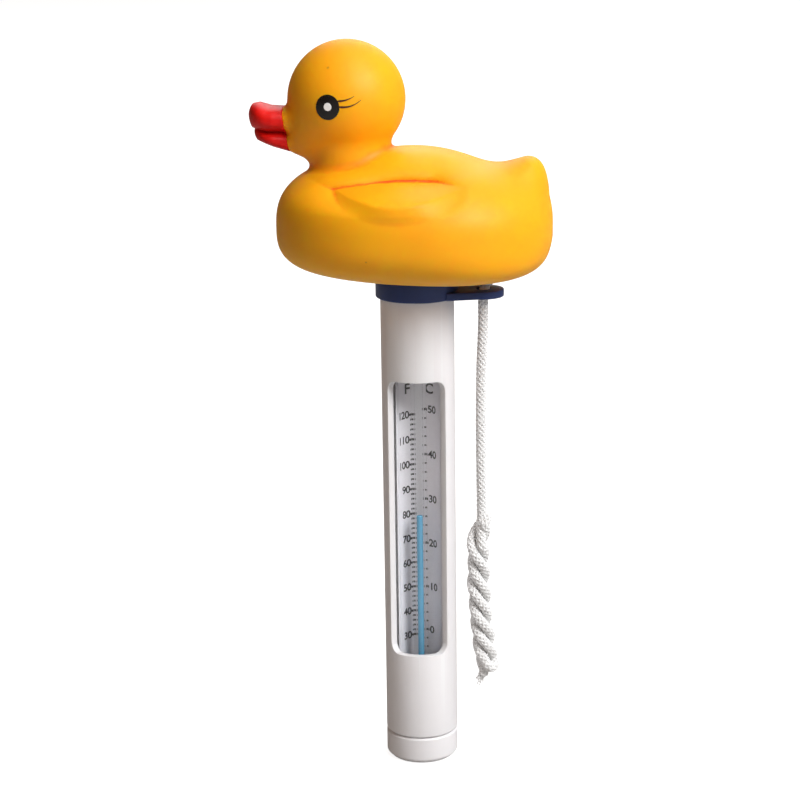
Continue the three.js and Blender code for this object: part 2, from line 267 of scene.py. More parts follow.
def braid_tree():
    tree, start, end = tree_with("braided_cord", (
        ("Braid Radius", "Float"), ("Strand Radius", "Float"), ("Lead", "Float"),
        ("Strands Each Way", "Int"), ("Material", "Material")))
    line, radius, strand, lead, count, look = start.outputs[:6]
    line = node(tree, "GeometryNodeSetCurveNormal", s0=line).outputs[0]
    inner = node(tree, "GeometryNodeCurvePrimitiveCircle", s0=10, s4=radius).outputs[0]
    core = node(tree, "GeometryNodeCurveToMesh", s0=line, s1=inner)
    core.inputs["Fill Caps"].default_value = True
    joined = tree.nodes.new("GeometryNodeJoinGeometry")
    tree.links.new(core.outputs[0], joined.inputs[0])
    run = tree.nodes.new("GeometryNodeSplineParameter").outputs["Length"]
    tangent = tree.nodes.new("GeometryNodeInputTangent").outputs[0]
    normal = tree.nodes.new("GeometryNodeInputNormal").outputs[0]
    side = node(tree, "ShaderNodeVectorMath", {"operation": "CROSS_PRODUCT"},
                s0=tangent, s1=normal).outputs[0]
    twist = maths(tree, "MULTIPLY", maths(tree, "DIVIDE", run, lead), 2 * math.pi)
    weave = maths(tree, "COSINE", maths(tree, "MULTIPLY", twist, count))
    for way in (1, -1):
        copies = node(tree, "GeometryNodeDuplicateElements", {"domain": "SPLINE"}, s0=line, s2=count)
        share = maths(tree, "DIVIDE", copies.outputs["Duplicate Index"], count)
        angle = maths(tree, "ADD", maths(tree, "MULTIPLY", share, 2 * math.pi),
                       maths(tree, "MULTIPLY", twist, way))
        reach = maths(tree, "ADD", radius,
                       maths(tree, "MULTIPLY", weave, maths(tree, "MULTIPLY", strand, way * 0.3)))
        offsets = []
        for part, direction in (("COSINE", normal), ("SINE", side)):
            size = maths(tree, "MULTIPLY", reach, maths(tree, part, angle))
            offsets.append(node(tree, "ShaderNodeVectorMath", {"operation": "SCALE"},
                                s0=direction, s3=size).outputs[0])
        shift = node(tree, "ShaderNodeVectorMath", {"operation": "ADD"},
                     s0=offsets[0], s1=offsets[1]).outputs[0]
        laid = node(tree, "GeometryNodeSetPosition", s0=copies.outputs[0], s3=shift).outputs[0]
        round_yarn = node(tree, "GeometryNodeCurvePrimitiveCircle", s0=6, s4=strand).outputs[0]
        yarn = node(tree, "GeometryNodeCurveToMesh", s0=laid, s1=round_yarn)
        yarn.inputs["Fill Caps"].default_value = True
        tree.links.new(yarn.outputs[0], joined.inputs[0])
    real = node(tree, "GeometryNodeRealizeInstances", s0=joined.outputs[0]).outputs[0]
    coloured = node(tree, "GeometryNodeSetMaterial", s0=real, s2=look).outputs[0]
    tree.links.new(coloured, end.inputs[0])
    return tree


def clouds(tree, scale, detail=2.0):
    """Noise on the piece's own coordinates."""
    place = tree.nodes.new("ShaderNodeTexCoord").outputs["Object"]
    return node(tree, "ShaderNodeTexNoise", s0=place, s2=scale, s3=detail).outputs[0]


def two_tone(tree, shader, amount, low, high, low_at=0.0, high_at=1.0):
    """A base colour that drifts between two tones."""
    tones = tree.nodes.new("ShaderNodeValToRGB")
    for stop, place, colour in zip(tones.color_ramp.elements, (low_at, high_at), (low, high)):
        stop.position = place
        stop.color = (*colour, 1)
    tree.links.new(amount, tones.inputs[0])
    tree.links.new(tones.outputs[0], shader.inputs["Base Color"])


def raise_grain(tree, shader, height, strength, depth):
    bump = tree.nodes.new("ShaderNodeBump")
    bump.inputs["Strength"].default_value = strength
    bump.inputs["Distance"].default_value = depth
    tree.links.new(height, bump.inputs["Height"])
    tree.links.new(bump.outputs[0], shader.inputs["Normal"])


def glow_through(shader, weight, radius, depth=0.002):
    shader.inputs["Subsurface Weight"].default_value = weight
    shader.inputs["Subsurface Radius"].default_value = radius
    shader.inputs["Subsurface Scale"].default_value = depth


yarn_look, tree, shader = new_material("cord_yarn", (0.8, 0.77, 0.72), 0.75)
shader.inputs["Sheen Weight"].default_value = 0.3
glow_through(shader, 0.6, (1, 0.9, 0.75), depth=0.0015)
two_tone(tree, shader, clouds(tree, 420), (0.80, 0.75, 0.68), (0.92, 0.89, 0.83), 0.3, 0.62)
raise_grain(tree, shader, clouds(tree, 5200, detail=3), strength=0.5, depth=0.1 * MM)
cord = grow("tether", poly_curve("tether_line", [cord_path * MM]), braid_tree(), {
    "Braid Radius": 1.12 * MM, "Strand Radius": 0.4 * MM, "Lead": 9.5 * MM,
    "Strands Each Way": 6, "Material": yarn_look})
chance = np.random.default_rng(7)
loose = []
for _ in range(60):
    root = np.array(tail[-1]) + chance.uniform(-0.85, 0.85, 3)
    way = np.array((-0.6, 0, -0.8)) + chance.uniform(-0.35, 0.35, 3)
    curl = chance.uniform(-0.4, 0.4, 3)
    reach = chance.uniform(0.9, 2.5)
    loose.append(np.array([root + (way * t + curl * t * t) * reach for t in np.linspace(-0.4, 1, 7)]) * MM)
fray = poly_curve("fray", loose)
fray.bevel_depth = 0.13 * MM
fray.bevel_resolution = 1
fray.use_fill_caps = True
strands = new_object("fray", fray)
both = bmesh.new()
both.from_mesh(cord.data)
both.from_mesh(bpy.data.meshes.new_from_object(strands))
both.to_mesh(cord.data)
both.free()
bpy.data.objects.remove(strands)
cord.data.shade_smooth()
cord.data.polygons.foreach_set("material_index", [0] * len(cord.data.polygons))
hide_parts("tether_cord", "tether_hank", "tether_knot")
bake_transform(cord)

# ---------------------------------------------------------------------------
# Duck float. One hollow soft-vinyl moulding: hull, shoulders, neck, head and tail run
# into each other, a lens-shaped wing is raised on each side under a sharp crease, and a
# shallow dish underneath takes the collar. Its skin is worked out as a level surface.
VINYL_WALL = 1.8
BELLY_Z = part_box("duck_float")[0][2] / MM
DISH_TOP_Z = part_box("sealing_washer")[1][2] / MM + 0.3
DUCK_STEP = 0.66
HEAD_CENTRE = np.array((-19.9, 0.0, 36.0))
HEAD_RADIUS = 17.2
HEAD_HALF_WIDTH = HEAD_RADIUS - 0.3
WING_X, WING_Z, WING_LONG, WING_TALL = -3.2, 14.2, 19.0, 10.4
CREASE_Z, CREASE_BOW = 14.5, 0.0045
WING_RISE, VALLEY_DEPTH = 1.9, 3.5
UPPER_BILL_ROOF = ((-48.6, 33.2), (-47.4, 34.8), (-45.6, 35.1), (-42.3, 34.1), (-38, 33.9), (-34, 35.0))
UPPER_BILL_SOLE = ((-48.6, 30.2), (-47.4, 27.9), (-43, 26.9), (-36, 26.6))
LOWER_BILL_ROOF = ((-47.1, 28.1), (-43, 27.1), (-36, 26.8))
LOWER_BILL_SOLE = ((-47.1, 25.6), (-46, 24.3), (-41, 22.3), (-35, 20.4))
UPPER_BILL_HALF, LOWER_BILL_HALF = 8.4, 6.7
BILL_BLEND = 1.6
PAINT_EDGE_X, PAINT_EDGE_Z, PAINT_SLANT = -38.1, 33.2, 0.135
PAINT_STANDS = 0.3
DISH_R, DISH_FRONT_X, DISH_BACK_X = 15.5, -1, 11
NECK_HOLE_R = 6.95


def lump(p, centre, long, wide, up, down, plan=2.0, side_up=2.0, side_down=2.0):
    """A swelling: half sizes in millimetres, and how square it is in plan, above and below."""
    q = np.abs(p - np.array(centre))
    above = p[:, 2] > centre[2]
    side = np.where(above, side_up, side_down)
    flat = ((q[:, 0] / long) ** plan + (q[:, 1] / wide) ** plan + 1e-12) ** (side / plan)
    tall = (q[:, 2] / np.where(above, up, down)) ** side
    reach = (flat + tall) ** (1 / side)
    length = np.linalg.norm(q, axis=1)
    return length - length / np.maximum(reach, 1e-6)


def melt(d1, d2, width):
    """Two swellings run into each other with a fillet."""
    h = np.clip(0.5 + 0.5 * (d2 - d1) / width, 0, 1)
    return d2 * (1 - h) + d1 * h - width * h * (1 - h)


def tapered_rod(p, start, stop, r_start, r_stop, stretch_y):
    q = p * np.array((1, 1 / stretch_y, 1))
    a, b = np.array(start), np.array(stop)
    t = np.clip((q - a) @ (b - a) / np.dot(b - a, b - a), 0, 1)
    return np.linalg.norm(q - a - t[:, None] * (b - a), axis=1) - (r_start + (r_stop - r_start) * t)


def step_up(t):
    t = np.clip(t, 0, 1)
    return t * t * (3 - 2 * t)


def wing_relief(p):
    """How far the skin stands out at the wing, how deep the valley above it is, and the room
    the hollow leaves behind it."""
    x, z = p[:, 0] - WING_X, p[:, 2]
    crease = CREASE_Z - CREASE_BOW * (x - 3) ** 2
    oval = (np.sqrt((x / WING_LONG) ** 2 + ((z - WING_Z) / WING_TALL) ** 2) - 1) * 9.8
    over = z - crease
    edge = np.maximum(oval, over)
    flank = step_up((np.abs(p[:, 1]) - 6) / 7) * (edge < 20)
    upper = step_up((z - 6) / 6) * (1 - step_up((x - 8) / 13))
    fade = VALLEY_DEPTH * upper * np.exp(-np.maximum(edge, 0) / 2.8)
    valley = fade * np.clip(1 + edge / 5, 0, 1)
    lens = WING_RISE * step_up(-oval / 5) * step_up((0.3 - over) / 6)
    return flank * lens, flank * valley, flank * fade * step_up((edge + 6) / 6)


def bill(p):
    """Upper and lower bill: each a flattened tube whose outline changes along its length."""
    x, y, z = p[:, 0], np.abs(p[:, 1]), p[:, 2]
    parts = []
    for roof, sole, half in ((UPPER_BILL_ROOF, UPPER_BILL_SOLE, UPPER_BILL_HALF),
                             (LOWER_BILL_ROOF, LOWER_BILL_SOLE, LOWER_BILL_HALF)):
        tip = roof[0][0]
        top = np.interp(x, *zip(*roof))
        low = np.interp(x, *zip(*sole))
        run = np.clip((x - tip) / 6.5, 0, 1)
        wide = half * np.sqrt(np.maximum(1 - (1 - run) ** 2.4, 1e-4)) - np.maximum(x + 41, 0) * 0.22
        deep = (top - low) / 2 * np.sqrt(np.maximum(1 - (1 - np.clip((x - tip) / 0.9, 0, 1)) ** 2, 1e-4))
        ring = ((y / np.maximum(wide, 0.5)) ** 2.5 + (np.abs(z - (top + low) / 2)
                / np.maximum(deep, 0.3)) ** 2.5) ** 0.4
        size = np.minimum(np.maximum(wide, 0.5), np.maximum(deep, 0.3))
        parts.append(np.maximum((ring - 1) * size, np.maximum(tip - x, x + 30)))
    return melt(*parts, width=0.5)


def duck_outside(p):
    """The moulding's skin without its bill, wings and dish."""
    brow = 2.75 - 0.45 * step_up((p[:, 0] + 30) / 32)
    bilge = 3.05 - 0.35 * step_up((p[:, 0] + 38) / 30) + 1.5 * step_up((p[:, 0] + 5) / 42)
    draught = -0.9 - BELLY_Z - 0.9 * step_up((5 - p[:, 0]) / 35)
    hull = lump(p, (-0.9, 0, -0.9), long=40.2, wide=34, up=20.3, down=draught,
                plan=2.25, side_up=brow, side_down=bilge)
    shoulders = lump(p, (-1, 0, 12), long=20.5, wide=19, up=9.8, down=14)
    body = melt(hull, shoulders, 5)
    tail_root = tapered_rod(p, (28.0, 0, 0), (31.7, 0, 10.4), r_start=10.5, r_stop=6.9, stretch_y=1.5)
    tail_ridge = tapered_rod(p, (19, 0, 5.5), (33.3, 0, 15.8), r_start=6, r_stop=2.3, stretch_y=1.7)
    body = melt(body, melt(tail_root, tail_ridge, 6), 6)
    neck = lump(p, (-19.1, 0, 19), long=11.9, wide=12.2, up=12, down=14, side_up=3, side_down=3)
    body = melt(body, neck, 2.4)
    head = lump(p, HEAD_CENTRE, long=HEAD_RADIUS, wide=HEAD_HALF_WIDTH, up=HEAD_RADIUS, down=HEAD_RADIUS)
    muzzle = lump(p, (-29.3, 0, 26.2), long=7.8, wide=8.6, up=7.6, down=7.8)
    return melt(body, melt(head, muzzle, 6), 2.2)


def dish(p):
    along = p[:, 0] - np.clip(p[:, 0], DISH_FRONT_X, DISH_BACK_X)
    return np.maximum(np.hypot(along, p[:, 1]) - DISH_R, p[:, 2] - DISH_TOP_Z)


def paint_line(p):
    """Negative on the painted bill, in front of the sprayed edge."""
    return p[:, 0] - PAINT_EDGE_X - PAINT_SLANT * (PAINT_EDGE_Z - p[:, 2])


def duck_shell(p):
    whole = duck_outside(p)
    raised, valley, room = wing_relief(p)
    hollow = np.maximum(whole + VINYL_WALL + room, VINYL_WALL - dish(p))
    masked = (paint_line(p) < 0.1) & (p[:, 2] > 18)
    coated = melt(whole - raised + valley, bill(p), BILL_BLEND) + PAINT_STANDS * masked
    outside = -melt(-coated, dish(p), 1.2)
    neck_hole = np.maximum(np.hypot(p[:, 0], p[:, 1]) - NECK_HOLE_R, np.abs(p[:, 2] - DISH_TOP_Z) - 4)
    return np.maximum(np.maximum(outside, -hollow), -neck_hole)


def gradient(field, p, reach=0.05):
    columns = []
    for axis in range(3):
        shift = np.zeros(3)
        shift[axis] = reach
        columns.append((field(p + shift) - field(p - shift)) / (2 * reach))
    return np.stack(columns, axis=1)


def settle(field, p, rounds=2, most=0.35):
    for _ in range(rounds):
        slope = gradient(field, p)
        steep = np.maximum((slope ** 2).sum(axis=1), 0.05)
        move = -(field(p) / steep)[:, None] * slope
        size = np.maximum(np.linalg.norm(move, axis=1), 1e-9)
        p = p + move * np.minimum(1, most / size)[:, None]
    return p


def level_surface(field, low, high, step):
    """Closed quads on the zero level of a field, one vertex in each cell it crosses."""
    axes = [np.arange(low[i], high[i] + step, step) for i in range(3)]
    shape = tuple(len(a) for a in axes)
    values = np.empty(shape)
    for i, x in enumerate(axes[0]):
        yy, zz = np.meshgrid(axes[1], axes[2], indexing="ij")
        sheet = np.stack([np.full(yy.size, x), yy.ravel(), zz.ravel()], axis=1)
        values[i] = field(sheet).reshape(yy.shape)
    inside = values < 0
    cells = tuple(n - 1 for n in shape)
    total = np.zeros((*cells, 3))
    count = np.zeros(cells)

    def window(array, offset):
        return array[tuple(slice(o, o + c) for o, c in zip(offset, cells))]

    for axis in range(3):
        for j in (0, 1):
            for k in (0, 1):
                first = [0, 0, 0]
                first[(axis + 1) % 3], first[(axis + 2) % 3] = j, k
                second = list(first)
                second[axis] = 1
                crossed = window(inside, first) != window(inside, second)
                va, vb = window(values, first), window(values, second)
                t = np.where(crossed, va / np.where(crossed, va - vb, 1), 0)
                for c in range(3):
                    part = t if c == axis else float(first[c])
                    total[..., c] += np.where(crossed, part, 0)
                count += crossed
    active = count > 0
    number = np.full(cells, -1)
    number[active] = np.arange(active.sum())
    corner = np.argwhere(active)
    points = (corner + total[active] / count[active][:, None]) * step + np.array([a[0] for a in axes])
    quads = []
    for axis in range(3):
        u, v = (axis + 1) % 3, (axis + 2) % 3
        ahead = np.zeros(3, int)
        ahead[axis] = 1
        here = inside[tuple(slice(0, n - 1) if i == axis else slice(1, n - 1)
                            for i, n in enumerate(shape))]
        there = inside[tuple(slice(1, n) if i == axis else slice(1, n - 1)
                             for i, n in enumerate(shape))]
        for flips in (False, True):
            hits = np.argwhere((there & ~here) if flips else (here & ~there))
            if not len(hits):
                continue
            hits[:, u] += 1
            hits[:, v] += 1
            ring = []
            for du, dv in ((-1, -1), (0, -1), (0, 0), (-1, 0)):
                cell = hits.copy()
                cell[:, u] += du
                cell[:, v] += dv
                ring.append(number[tuple(cell.T)])
            quad = np.stack(ring, axis=1)
            quads.append(quad[:, ::-1] if flips else quad)
    return settle(field, points), np.concatenate(quads)


def add_mesh(name, points, faces, material):
    mesh = bpy.data.meshes.new(name)
    mesh.from_pydata(np.asarray(points).tolist(), [], [list(map(int, f)) for f in faces])
    mesh.shade_smooth()
    mesh.materials.append(material)
    mesh.update()
    return new_object(name, mesh)


def plastic_surface():
    """Shared look of a moulding: faint mottling, fine grain, a rare speck, rubbed edges, and painted shade in
    its creases.
    """
    group = bpy.data.node_groups.new("moulded_surface", "ShaderNodeTree")
    for label, kind in (("Colour", "Color"), ("Deep Colour", "Color"), ("Worn Colour", "Color"),
                        ("Mottle Size", "Float"), ("Grain Size", "Float"), ("Specks", "Float"),
                        ("Low Roughness", "Float"), ("High Roughness", "Float"), ("Painted Crease Shade", "Color")):
        group.interface.new_socket(label, in_out="INPUT", socket_type="NodeSocket" + kind)
    for label, kind in (("Colour", "Color"), ("Roughness", "Float"), ("Height", "Float")):
        group.interface.new_socket(label, in_out="OUTPUT", socket_type="NodeSocket" + kind)
    start, end = group.nodes.new("NodeGroupInput"), group.nodes.new("NodeGroupOutput")
    colour, deep, worn, mottle, grain, specks, low, high, crease = start.outputs[:9]
    place = group.nodes.new("ShaderNodeTexCoord").outputs["Object"]
    cloud = node(group, "ShaderNodeTexNoise", s0=place, s2=mottle)
    cloud.inputs["Detail"].default_value = 4
    cloudy = node(group, "ShaderNodeMapRange", s0=cloud.outputs[0], s1=0.35, s2=0.7).outputs[0]
    base = node(group, "ShaderNodeMix", {"data_type": "RGBA"}, s0=cloudy, s6=colour, s7=deep).outputs[2]
    dots = node(group, "ShaderNodeTexVoronoi", s0=place, s2=170.0)
    small = node(group, "ShaderNodeMath", {"operation": "LESS_THAN"}, s0=dots.outputs["Distance"], s1=0.07)
    split = node(group, "ShaderNodeSeparateColor", s0=dots.outputs["Color"])
    rare = node(group, "ShaderNodeMath", {"operation": "LESS_THAN"}, s0=split.outputs[0], s1=specks)
    speck = maths(group, "MULTIPLY", maths(group, "MULTIPLY", small.outputs[0], rare.outputs[0]), 0.35)
    marked = node(group, "ShaderNodeMix", {"data_type": "RGBA"}, s0=speck, s6=base,
                  s7=(0.12, 0.05, 0.02, 1)).outputs[2]
    edges = group.nodes.new("ShaderNodeNewGeometry").outputs["Pointiness"]
    rubbed = node(group, "ShaderNodeMapRange", s0=edges, s1=0.53, s2=0.62, s4=0.7).outputs[0]
    raised = node(group, "ShaderNodeMix", {"data_type": "RGBA"}, s0=rubbed, s6=marked, s7=worn).outputs[2]
    # Painted shade: hollows and creases (low pointiness) take the crease colour, a darker tint that stands in
    # for the shade falling there.
    painted_crease_shade = node(group, "ShaderNodeMapRange", s0=edges, s1=0.497, s2=0.458, s4=0.95).outputs[0]
    final = node(group, "ShaderNodeMix", {"data_type": "RGBA"}, s0=painted_crease_shade, s6=raised, s7=crease).outputs[2]
    fine = node(group, "ShaderNodeTexNoise", s0=place, s2=grain)
    fine.inputs["Detail"].default_value = 2
    rough = node(group, "ShaderNodeMapRange", s0=cloud.outputs[0], s1=0.3, s2=0.7, s3=low, s4=high)
    group.links.new(final, end.inputs[0])
    group.links.new(rough.outputs[0], end.inputs[1])
    group.links.new(fine.outputs[0], end.inputs[2])
    return group


MOULDED = plastic_surface()


def moulded_material(name, colour, deep, worn, gloss, mottle=60, grain=2600, relief=0.02, specks=0.0,
                     crease=None):
    """A plastic finish: gloss is its lowest and highest roughness, relief its grain in mm, crease the colour
    of the painted shade in its hollows (the deep colour if not given).
    """
    material, tree, shader = new_material(name, colour, gloss[0])
    surface = tree.nodes.new("ShaderNodeGroup")
    surface.node_tree = MOULDED
    for label, value in (("Colour", (*colour, 1)), ("Deep Colour", (*deep, 1)), ("Worn Colour", (*worn, 1)),
                         ("Mottle Size", mottle), ("Grain Size", grain), ("Specks", specks),
                         ("Low Roughness", gloss[0]), ("High Roughness", gloss[1]),
                         ("Painted Crease Shade", (*(crease or deep), 1))):
        surface.inputs[label].default_value = value
    tree.links.new(surface.outputs["Colour"], shader.inputs["Base Color"])
    tree.links.new(surface.outputs["Roughness"], shader.inputs["Roughness"])
    raise_grain(tree, shader, surface.outputs["Height"], 0.6, relief * MM)
    return material, shader


# The crease colour is painted shade: a deep orange-red laid in the wing's crease and the skin's other
# hollows, where interreflected shade falls.
vinyl, shader = moulded_material("duck_vinyl", (1.0, 0.43, 0.004), (1.0, 0.39, 0.003), (1.0, 0.47, 0.01),
                                 (0.46, 0.54), specks=0.05, crease=(0.85, 0.10, 0.002))
glow_through(shader, 0.45, (1.0, 0.2, 0.03))
shader.inputs["Specular IOR Level"].default_value = 0.28
points, quads = level_surface(duck_shell, (-50, -36, BELLY_Z - 1.5), (42, 36, 54.5), DUCK_STEP)
duck = add_mesh("duck_skin", points * MM, quads, vinyl)
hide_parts("duck_float")
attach(duck, "float")

# ---------------------------------------------------------------------------
# Bill. The same moulding, sprayed red up to a straight masked edge; the mouth is a crease
# between the broad upper bill and the narrower lower one.
BILL_STEP = 0.36
PAINT_COAT = 0.04
bill_paint, shader = moulded_material("bill_red", (0.72, 0.008, 0.004), (0.6, 0.004, 0.004),
                                      (0.75, 0.02, 0.015), (0.38, 0.48), mottle=140)
glow_through(shader, 0.15, (1.0, 0.1, 0.05))
shader.inputs["Specular IOR Level"].default_value = 0.25


def painted_bill(p):
    moulding = melt(duck_outside(p), bill(p), BILL_BLEND)
    return np.maximum(moulding - PAINT_COAT, paint_line(p))


points, quads = level_surface(painted_bill, (-50, -10, 17), (-33, 10, 39), BILL_STEP)
beak = add_mesh("bill", points * MM, quads, bill_paint)
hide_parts("beak")
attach(beak, "float")

# ---------------------------------------------------------------------------
# Eyes. Pad-printed ink on the head: a black oval, a white pupil and two lashes behind it.
# Each print is a thin closed patch laid on the skin, from a grid of (x, z) places.
EYE_X, EYE_Z = -23.5, 35.3
LASH_HALF_WIDTH = 0.34
UPPER_LASH = (-20.7, 37.1), (-18.0, 37.0), (-15.9, 38.4)
LOWER_LASH = (-20.4, 35.5), (-16.6, 34.9), (-14.0, 37.3)
INK_STANDS = 0.07
INK_SINKS = 0.3


def printed(name, grid, side, material, stands=INK_STANDS):
    rows, columns = len(grid), len(grid[0])
    flat = np.array(grid, float).reshape(-1, 2)
    rest = 1 - ((flat[:, 0] - HEAD_CENTRE[0]) ** 2 + (flat[:, 1] - HEAD_CENTRE[2]) ** 2) / HEAD_RADIUS ** 2
    p = np.stack([flat[:, 0], side * HEAD_HALF_WIDTH * np.sqrt(rest), flat[:, 1]], axis=1)
    p = settle(duck_outside, p, 3)
    normal = gradient(duck_outside, p)
    normal /= np.linalg.norm(normal, axis=1)[:, None]
    points = np.concatenate([p + normal * stands, p - normal * INK_SINKS])
    count = rows * columns
    faces = []
    for i in range(rows - 1):
        for j in range(columns - 1):
            a = i * columns + j
            b, c, d = a + 1, a + columns + 1, a + columns
            faces += [(a, b, c, d), (a + count, d + count, c + count, b + count)]
    rim = [*range(columns), *(i * columns + columns - 1 for i in range(1, rows)),
           *(count - 2 - j for j in range(columns - 1)), *(i * columns for i in range(rows - 2, 0, -1))]
    for a, b in zip(rim, rim[1:] + rim[:1]):
        faces.append((b, a, a + count, b + count))
    piece = add_mesh(name, points * MM, faces, material)
    edit = bmesh.new()
    edit.from_mesh(piece.data)
    bmesh.ops.remove_doubles(edit, verts=edit.verts, dist=1e-6)
    bmesh.ops.dissolve_degenerate(edit, edges=edit.edges, dist=1e-7)
    bmesh.ops.recalc_face_normals(edit, faces=edit.faces)
    edit.to_mesh(piece.data)
    edit.free()
    piece.data.set_sharp_from_angle(angle=math.radians(50))
    return piece


def oval(x, z, half_x, half_z, cells=18):
    """A disc as a square grid squeezed to a circle, so that no pole is left in it."""
    grid = []
    for i in range(cells + 1):
        row = []
        for j in range(cells + 1):
            u, v = 2 * i / cells - 1, 2 * j / cells - 1
            row.append((x + half_x * u * math.sqrt(1 - v * v / 2), z + half_z * v * math.sqrt(1 - u * u / 2)))
        grid.append(row)
    return grid


def lash(start, middle, end, steps=16):
    """A stroke bent through three (x, z) places, thinning out to its end."""
    grid = []
    for i in range(steps + 1):
        t = i / steps
        x, z = ((1 - t) ** 2 * a + 2 * t * (1 - t) * b + t * t * c for a, b, c in zip(start, middle, end))
        half = LASH_HALF_WIDTH * (1 - 0.75 * t) * min(1, 0.3 + 6 * t)
        grid.append([(x, z - half), (x, z), (x, z + half)])
    return grid


ink = moulded_material("eye_black", (0.004, 0.003, 0.003), (0.008, 0.006, 0.006), (0.02, 0.015, 0.01),
                       (0.24, 0.34), mottle=400)[0]
lash_ink = moulded_material("lash_brown", (0.07, 0.014, 0.003), (0.05, 0.01, 0.002), (0.1, 0.03, 0.01),
                            (0.35, 0.45), mottle=500)[0]
white_ink = moulded_material("pupil_white", (0.96, 0.96, 0.95), (0.92, 0.92, 0.9), (0.9, 0.9, 0.9),
                             (0.3, 0.4), mottle=500)[0]
for side, word in ((-1, "right"), (1, "left")):
    eye = printed("eye_" + word + "_print", oval(EYE_X, EYE_Z, 3.42, 3.6), side, ink)
    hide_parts("eye_" + word)
    pupil = printed("pupil_" + word, oval(EYE_X + 0.05, EYE_Z + 0.15, 1.12, 1.15, 8), side, white_ink, 0.1)
    upper = printed("lash_upper_" + word, lash(*UPPER_LASH), side, lash_ink)
    lower = printed("lash_lower_" + word, lash(*LOWER_LASH), side, lash_ink)
    for piece in (eye, pupil, upper, lower):
        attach(piece, "float")

# ---------------------------------------------------------------------------
# Collar. A navy moulding over the tube's end: socket, lug with the tether's eye, and the
# barbed neck that the duck is pushed on to. Edges carry small moulded radii.
SOFT_EDGE_ANGLE = math.radians(35)


def rounded(profile, default=0.15, steps=4):
    """A profile of (radius, height[, corner radius]) with each corner turned into an arc."""
    result = []
    for i, point in enumerate(profile):
        here = np.array(point[:2])
        size = point[2] if len(point) > 2 else default
        if i in (0, len(profile) - 1) and point[0] == 0 or size == 0:
            result.append(tuple(here))
            continue
        before = np.array(profile[i - 1][:2]) - here
        after = np.array(profile[(i + 1) % len(profile)][:2]) - here
        run_in, run_out = np.linalg.norm(before), np.linalg.norm(after)
        turn = math.acos(np.clip(before @ after / (run_in * run_out), -1, 1))
        cut = min(size / math.tan(turn / 2), 0.45 * run_in, 0.45 * run_out)
        for k in range(steps + 1):
            t = k / steps
            a, b = here + before / run_in * cut, here + after / run_out * cut
            result.append(tuple((1 - t) ** 2 * a + 2 * t * (1 - t) * here + t * t * b))
    return result


def turned(name, profile, material, segments):
    """A closed profile of (radius, height) in millimetres turned about the upright axis."""
    edit = bmesh.new()
    rings = []
    for r, z in profile:
        if r < 1e-6:
            rings.append([edit.verts.new((0, 0, z * MM))] * segments)
        else:
            rings.append([edit.verts.new((r * math.cos(a) * MM, r * math.sin(a) * MM, z * MM))
                          for a in (2 * math.pi * k / segments for k in range(segments))])
    loops = list(zip(rings, rings[1:]))
    if profile[0][0] > 1e-6:
        loops.append((rings[-1], rings[0]))
    for low, high in loops:
        for k in range(segments):
            corners = [low[k], low[(k + 1) % segments], high[(k + 1) % segments], high[k]]
            unique = list(dict.fromkeys(corners))
            if len(unique) > 2:
                edit.faces.new(unique)
    bmesh.ops.recalc_face_normals(edit, faces=edit.faces)
    return finish_mesh(name, edit, material)


def shade_softly(mesh):
    mesh.shade_smooth()
    mesh.set_sharp_from_angle(angle=SOFT_EDGE_ANGLE)


def finish_mesh(name, edit, material):
    mesh = bpy.data.meshes.new(name)
    edit.to_mesh(mesh)
    edit.free()
    shade_softly(mesh)
    mesh.materials.append(material)
    return new_object(name, mesh)


def keep_changes(piece):
    """Take the result of a piece's modifiers as its own mesh."""
    graph = bpy.context.evaluated_depsgraph_get()
    mesh = bpy.data.meshes.new_from_object(piece.evaluated_get(graph))
    piece.modifiers.clear()
    piece.data = mesh
    shade_softly(mesh)


def cut_or_join(piece, tool, operation):
    change = piece.modifiers.new("cut", "BOOLEAN")
    change.operation = operation
    change.solver = "EXACT"
    change.object = tool
    keep_changes(piece)
    bpy.data.objects.remove(tool)


def ease_edges(piece, width):
    ease = piece.modifiers.new("ease", "BEVEL")
    ease.width = width
    ease.segments = 3
    ease.limit_method = "ANGLE"
    ease.angle_limit = SOFT_EDGE_ANGLE
    keep_changes(piece)


def slab(name, outline, low, high, material):
    """An upright prism over an outline of (x, y) in millimetres."""
    edit = bmesh.new()
    base = [edit.verts.new((x * MM, y * MM, low * MM)) for x, y in outline]
    roof = [edit.verts.new((x * MM, y * MM, high * MM)) for x, y in outline]
    edit.faces.new(base[::-1])
    edit.faces.new(roof)
    for k in range(len(base)):
        n = (k + 1) % len(base)
        edit.faces.new((base[k], base[n], roof[n], roof[k]))
    bmesh.ops.recalc_face_normals(edit, faces=edit.faces)
    return finish_mesh(name, edit, material)


COLLAR_LOW, COLLAR_HIGH = LUG_LOW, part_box("collar_cap")[1][2] / MM
TUBE_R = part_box("housing_tube")[1][0] / MM
TUBE_TOP_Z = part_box("housing_tube")[1][2] / MM
BORE_R = TUBE_R - 2
SOCKET_R = TUBE_R + 0.3
COLLAR_R = 12.35
SHOULDER_Z = COLLAR_LOW + 8.5
WEB_Z = TUBE_TOP_Z + 0.5
NECK_R, BARB_R, NECK_TOP = 6.6, 8.2, COLLAR_HIGH - 1.8
SKIRT_IN, SKIRT_OUT, SKIRT_LOW = 7.4, 8.6, COLLAR_LOW + 1.1
LUG_TIP_R, LUG_ROOT, LUG_THICK, EYE_R = 6.2, 8.6, 2.3, 2.1
navy = moulded_material("collar_navy", (0.008, 0.03, 0.16), (0.006, 0.022, 0.12), (0.05, 0.1, 0.26),
                        (0.42, 0.52), mottle=90, relief=0.03)[0]
